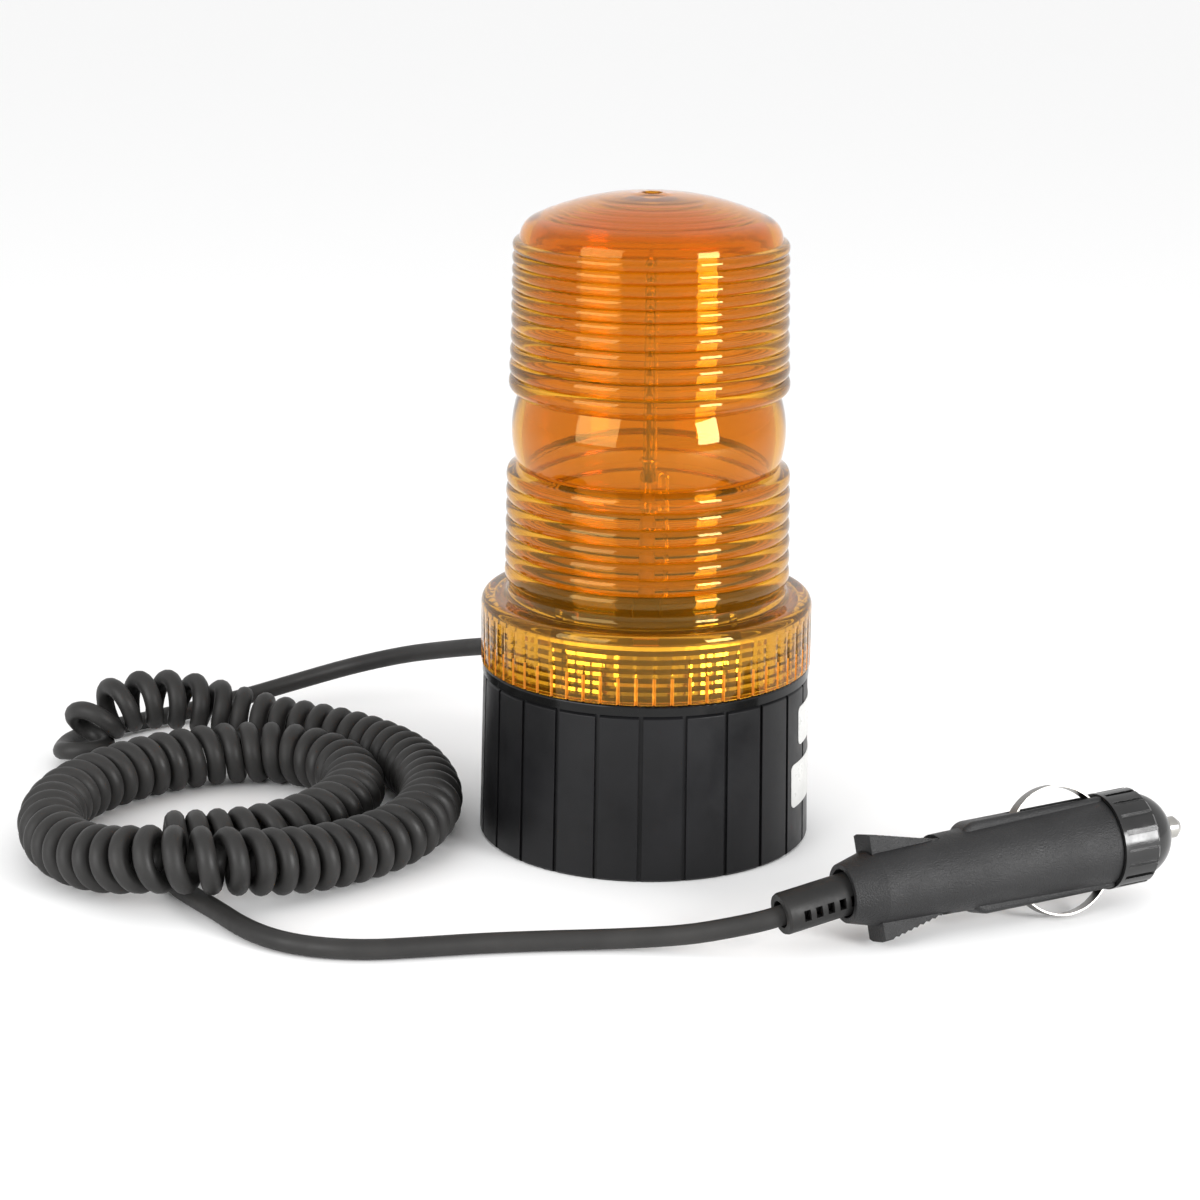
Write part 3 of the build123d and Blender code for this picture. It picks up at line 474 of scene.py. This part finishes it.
def rib_points(count, crest_top, crest_bottom, z_top, z_bottom):
    """Rounded ribs from the top down with narrow grooves between."""
    pitch = (z_top - z_bottom) / count
    points = []
    for rib in range(count):
        crest = crest_top + (crest_bottom - crest_top) * rib / (count - 1)
        for k in range(RIB_STEPS):
            t = -1 + 2 * (k + 0.5) / RIB_STEPS
            swell = (1 - abs(t) ** RIB_SQUARENESS) ** RIB_FULLNESS
            points.append((crest - RIB_DEPTH * (1 - swell), z_top - (rib + (t + 1) / 2) * pitch))
        points.append((crest - RIB_DEPTH, z_top - (rib + 1) * pitch))
    return points


def crown_points(apex):
    """The crown from its centre out: a gate mark, shallow terraces and a round shoulder."""
    def height(r):
        return apex - CROWN_FALL * (r / CROWN_RADIUS) ** CROWN_POWER
    points = [(0.0, apex - 0.00055), (0.0012, apex - 0.00055), (0.0021, apex - 0.0005), (0.0024, apex - 0.0001),
              (0.0029, height(0.0029) - 0.00002), (0.0033, height(0.0033) - 0.00016),
              (0.006, height(0.006) - 0.0001)]
    for r in TERRACES:
        points += [(r - 0.0004, height(r - 0.0004)), (r, height(r) - 0.00003),
                   (r + 0.0004, height(r) - 0.00011), (r + 0.0010, height(r + 0.0010) - 0.00006),
                   (r + 0.0018, height(r + 0.0018) - 0.00002)]
    return points + arc((0.0256, height(0.0256)), (0.0282, apex - 0.0072), (0.0292, apex - 0.0102), 8)


def outer_outline(apex):
    """The lens's outer face from the crown down, as (radius, height)."""
    outline = crown_points(apex) + [(0.02925, apex - 0.0102)]
    outline += rib_points(6, 0.0307, 0.0310, 0.1372, 0.1209)
    outline += rib_points(5, 0.0310, 0.0315, 0.1209, 0.1036)
    outline += arc((BELT_EDGE, BELT_HIGH), (0.0308, BELT_MIDDLE), (BELT_EDGE, BELT_LOW), 22)
    outline += [(BELT_EDGE, BELT_LOW), (0.0300, 0.0861)]
    outline += rib_points(7, 0.0320, 0.0324, 0.0859, 0.0600)
    outline += arc((0.0315, 0.0598), (0.0316, 0.0574), (0.0330, COLLAR_TOP), 6)
    outline += [(0.0330, COLLAR_TOP), (0.0343, COLLAR_TOP + 0.00003), (0.0356, COLLAR_TOP)]
    outline += arc((0.0358, COLLAR_TOP - 0.00003), (0.0371, COLLAR_TOP - 0.0006),
                   (COLLAR_RADIUS, COLLAR_TOP - 0.0021), 6)
    outline += [(COLLAR_RADIUS, z) for z in (COLLAR_TOP - 0.0021, FLUTE_TOP + 0.0003, FLUTE_TOP,
                                             COLLAR_BOTTOM + 0.0062, COLLAR_BOTTOM + 0.0002)]
    return outline + [(COLLAR_RADIUS - 0.0002, COLLAR_BOTTOM)]


def inner_outline(apex):
    """The lens's inner face from the collar's foot up, as (radius, height)."""
    outline = [(0.0352, COLLAR_BOTTOM), (COLLAR_BORE, COLLAR_BOTTOM + 0.0003)]
    low = COLLAR_BOTTOM + 0.0005
    high = COLLAR_TOP - 0.0030
    pitch = (high - low) / PRISM_ROWS
    for row in range(PRISM_ROWS):
        outline += [(COLLAR_BORE, low + row * pitch), (COLLAR_BORE - PRISM_DEPTH, low + (row + 0.5) * pitch)]
    outline += [(0.0347, high), (0.0342, COLLAR_CEILING), (0.0303, COLLAR_CEILING)]
    outline += [(NECK_BORE, z) for z in (COLLAR_TOP - 0.0024, TAB_LOW - 0.0001, TAB_LOW, TAB_HIGH,
                                         TAB_HIGH + 0.0001, 0.0618)]
    outline += [(0.0297, 0.0624), (LOWER_BORE, 0.0631), (LOWER_BORE, 0.0730), (LOWER_BORE, 0.0826),
                (0.0290, 0.0838), (0.0276, 0.0856), (BELT_INNER_EDGE, 0.0863)]
    outline += arc((BELT_INNER_EDGE, BELT_LOW), (0.0286, BELT_MIDDLE), (BELT_INNER_EDGE, BELT_HIGH), 18)
    outline += [(BELT_INNER_EDGE, 0.1027), (0.0275, 0.1036), (UPPER_BORE, 0.1044), (UPPER_BORE, 0.1190),
                (UPPER_BORE, 0.1335), (0.0273, 0.1360)]
    outline += arc((0.0268, 0.1374), (0.0256, 0.1396), (0.0230, 0.1409), 6)
    outline += arc((0.0228, 0.1410), (0.0130, apex - 0.0037), (0.0040, apex - 0.0027), 10)
    return outline + [(0.0020, apex - CROWN_WALL), (0.0, apex - CROWN_WALL)]


def near_tab(angle):
    """Whether an angle in degrees meets one of the bayonet tabs."""
    away = (angle - TAB_FIRST + TWIST + TAB_STEP / 2) % TAB_STEP - TAB_STEP / 2
    return abs(away) < TAB_HALF


def lens_vertices(outline):
    """The outline turned about the axis, with the collar's grooves and the tabs, and the grooved rows."""
    columns = FLUTES * len(FLUTE_STEPS)
    vertices = []
    grooved_rows = []
    for r, z in outline[1:-1]:
        grooved = abs(r - COLLAR_RADIUS) < 0.3 * MM and z < FLUTE_TOP - NEAR
        tabbed = abs(r - NECK_BORE) < NEAR and TAB_LOW - NEAR < z < TAB_HIGH + NEAR
        grooved_rows.append(grooved)
        for column in range(columns):
            flute, step = divmod(column, len(FLUTE_STEPS))
            t = FLUTE_STEPS[step]
            angle = (flute + t / 2) * 360 / FLUTES
            radius = r
            if grooved:
                radius = r - FLUTE_DEPTH * max(0.0, abs(t) - FLUTE_LAND) / (1 - FLUTE_LAND)
            if tabbed and near_tab(angle):
                radius = TAB_RADIUS
            a = radians(angle)
            vertices.append((radius * cos(a), radius * sin(a), z))
    vertices += [(0, 0, outline[0][1]), (0, 0, outline[-1][1])]
    return vertices, grooved_rows


def lens_faces(rows, columns):
    """Four-sided faces between the rows, and a fan at each pole."""
    faces = []
    for row in range(rows - 1):
        above, below = row * columns, (row + 1) * columns
        for column in range(columns):
            beside = (column + 1) % columns
            faces.append((above + column, below + column, below + beside, above + beside))
    outer_pole, inner_pole = rows * columns, rows * columns + 1
    last = (rows - 1) * columns
    for column in range(columns):
        beside = (column + 1) % columns
        faces.append((outer_pole, column, beside))
        faces.append((inner_pole, last + beside, last + column))
    return faces


def lens_materials():
    """The amber of the body, of the collar's grooves and of the crown, in slot order; the crown's is a darker,
    redder copy of the body's amber, painted shade.
    """
    sheen = (1.0, 0.74, 0.30)
    # A more orange sheen for the crown's painted shade.
    shaded_crown_sheen = (1.0, 0.66, 0.22)
    return [
        clear_plastic("amber_polycarbonate", (0.76, 0.35, 0.019), (0.015, 0.045), 1.52, 0.02 * MM,
                      clear=0.95, sheen=sheen),
        clear_plastic("amber_groove", (0.86, 0.30, 0.03), (0.25, 0.40), 1.52, 0.02 * MM,
                      clear=0.45, sheen=sheen),
        # The crown: a darker, redder copy of the body's amber and sheen, painted shade of the dome.
        clear_plastic("amber_crown_painted_shade", (0.75, 0.265, 0.006), (0.03, 0.07), 1.52, 0.02 * MM,
                      clear=0.92, sheen=shaded_crown_sheen),
    ]


def make_lens():
    """The one-piece amber moulding: crown, ribs, belt, neck, fluted collar with prism rows and bayonet tabs."""
    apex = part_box("lens")[1].z
    outline = outer_outline(apex) + inner_outline(apex)
    rows = len(outline) - 2
    columns = FLUTES * len(FLUTE_STEPS)
    vertices, grooved_rows = lens_vertices(outline)
    lens = mesh_piece("lens_moulding", vertices, lens_faces(rows, columns), LENS_SHARP)
    for material in lens_materials():
        lens.data.materials.append(material)
    for face in lens.data.polygons:
        row, column = divmod(face.index, columns)
        if row >= rows - 1:
            continue
        beside_groove = column % len(FLUTE_STEPS) in (0, len(FLUTE_STEPS) - 1)
        # The crown's faces take the darker amber, painted shade.
        if outline[row + 1][1] > apex - CROWN_SHADE_DEPTH:
            face.material_index = SHADED_CROWN_SLOT
        if grooved_rows[row] and grooved_rows[row + 1] and beside_groove:
            face.material_index = GROOVE_SLOT
    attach(lens, "lens")
    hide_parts("lens")


# ---------------------------------------------------------------- finishes of the CAD pieces

def cad_finishes():
    """Each finish of the CAD pieces that show, with the nodes that have it."""
    return [
        (surface("satin_black_abs", (0.005, 0.005, 0.0055), (0.008, 0.008, 0.009), (0.30, 0.44), 3800.0,
                 0.015 * MM, edge=0.22 * MM, patch=38.0, specular=0.22),
         "base_housing base_plate cord_clamp"),
        (surface("gloss_black_seal", (0.004, 0.004, 0.004), (0.007, 0.007, 0.007), (0.12, 0.20), 1500.0,
                 0.006 * MM, patch=70.0, specular=0.2),
         "lens_gasket"),
        (surface("pad_rubber", (0.022, 0.022, 0.023), (0.034, 0.033, 0.032), (0.60, 0.80), 2200.0,
                 0.05 * MM, edge=0.2 * MM),
         "magnet_pad"),
        (surface("zinc_steel", (0.56, 0.56, 0.54), (0.70, 0.69, 0.64), (0.24, 0.40), 1400.0,
                 0.01 * MM, metallic=1.0, edge=0.1 * MM),
         "magnet_cup magnet_screw magnet_nut plate_screws board_screws plug_screw"),
        (surface("ferrite", (0.05, 0.05, 0.055), (0.08, 0.078, 0.075), (0.45, 0.65), 1800.0,
                 0.04 * MM, metallic=0.4),
         "magnet_ring"),
        (surface("solder_mask", (0.02, 0.13, 0.05), (0.03, 0.17, 0.06), (0.16, 0.30), 420.0,
                 0.05 * MM, coat=0.4),
         "circuit_board"),
        (surface("wound_core", (0.16, 0.12, 0.05), (0.24, 0.17, 0.06), (0.30, 0.50), 900.0,
                 0.08 * MM, stretch=(1, 14, 14)),
         "transformer"),
        (surface("capacitor_sleeve", (0.012, 0.014, 0.05), (0.018, 0.02, 0.07), (0.18, 0.30), 1200.0,
                 0.01 * MM),
         "capacitor"),
        (surface("coil_varnish", (0.30, 0.10, 0.03), (0.42, 0.16, 0.05), (0.20, 0.34), 800.0,
                 0.07 * MM, stretch=(1, 1, 12)),
         "trigger_coil"),
        (surface("pillar_moulding", (0.62, 0.56, 0.42), (0.70, 0.64, 0.50), (0.30, 0.48), 2400.0,
                 0.02 * MM, edge=0.2 * MM),
         "tube_pillar"),
        (clear_plastic("clear_silicone", (0.95, 0.92, 0.86), (0.10, 0.22), 1.41, 0.04 * MM),
         "tube_cap"),
        (clear_plastic("quartz_glass", (0.98, 0.99, 1.0), (0.005, 0.02), 1.46, 0.01 * MM),
         "flash_tube plug_fuse"),
        (surface("tungsten", (0.30, 0.29, 0.28), (0.42, 0.40, 0.38), (0.30, 0.46), 2600.0,
                 0.01 * MM, metallic=1.0),
         "tube_electrodes"),
        (surface("tinned_wire", (0.78, 0.77, 0.74), (0.86, 0.85, 0.82), (0.12, 0.26), 1800.0,
                 0.01 * MM, metallic=1.0),
         "trigger_wire return_wire anode_post"),
        (surface("blank_vinyl", (0.48, 0.48, 0.47), (0.55, 0.55, 0.53), (0.26, 0.38), 1600.0,
                 0.01 * MM, patch=120.0),
         "rating_label_upper rating_label_lower"),
        (surface("reflector_white", (0.72, 0.70, 0.62), (0.80, 0.78, 0.70), (0.18, 0.32), 1400.0,
                 0.01 * MM),
         "reflector_plate"),
        (surface("grommet_rubber", (0.009, 0.009, 0.009), (0.015, 0.0145, 0.014), (0.42, 0.60), 2600.0,
                 0.03 * MM, edge=0.2 * MM, specular=0.25),
         "cord_grommet plug_boot"),
        (surface("wire_insulation", (0.40, 0.03, 0.02), (0.52, 0.05, 0.03), (0.25, 0.4), 1500.0,
                 0.01 * MM),
         "supply_wires"),
        (surface("sparked_black_abs", (0.008, 0.008, 0.0085), (0.014, 0.014, 0.0145), (0.40, 0.52), 3000.0,
                 0.22 * MM, edge=0.3 * MM, patch=55.0, specular=0.34),
         "plug_shell_left plug_shell_right plug_fin_upper plug_fin_lower"),
        (surface("phenolic_black", (0.006, 0.006, 0.006), (0.010, 0.010, 0.010), (0.12, 0.24), 1900.0,
                 0.008 * MM, edge=0.12 * MM, patch=90.0),
         "plug_nose_ring plug_nose_tip"),
        (surface("nickel_spring", (0.15, 0.145, 0.135), (0.22, 0.21, 0.20), (0.26, 0.38), 1500.0,
                 0.006 * MM, metallic=1.0, edge=0.08 * MM),
         "plug_contact_upper plug_contact_lower plug_pin_spring"),
        (surface("nickel_pin", (0.36, 0.35, 0.33), (0.48, 0.47, 0.44), (0.14, 0.30), 1600.0,
                 0.01 * MM, metallic=1.0, edge=0.08 * MM),
         "plug_centre_pin"),
        (surface("brass_cap", (0.62, 0.44, 0.16), (0.72, 0.54, 0.22), (0.20, 0.36), 1500.0,
                 0.01 * MM, metallic=1.0),
         "plug_fuse_caps"),
    ]


def dress_cad():
    """Gives every CAD node that shows its finish."""
    for material, nodes in cad_finishes():
        for node in nodes.split():
            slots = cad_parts[node].data.materials
            slots.clear()
            slots.append(material)


make_camera()
make_studio()
make_cord()
make_lens()
dress_cad()
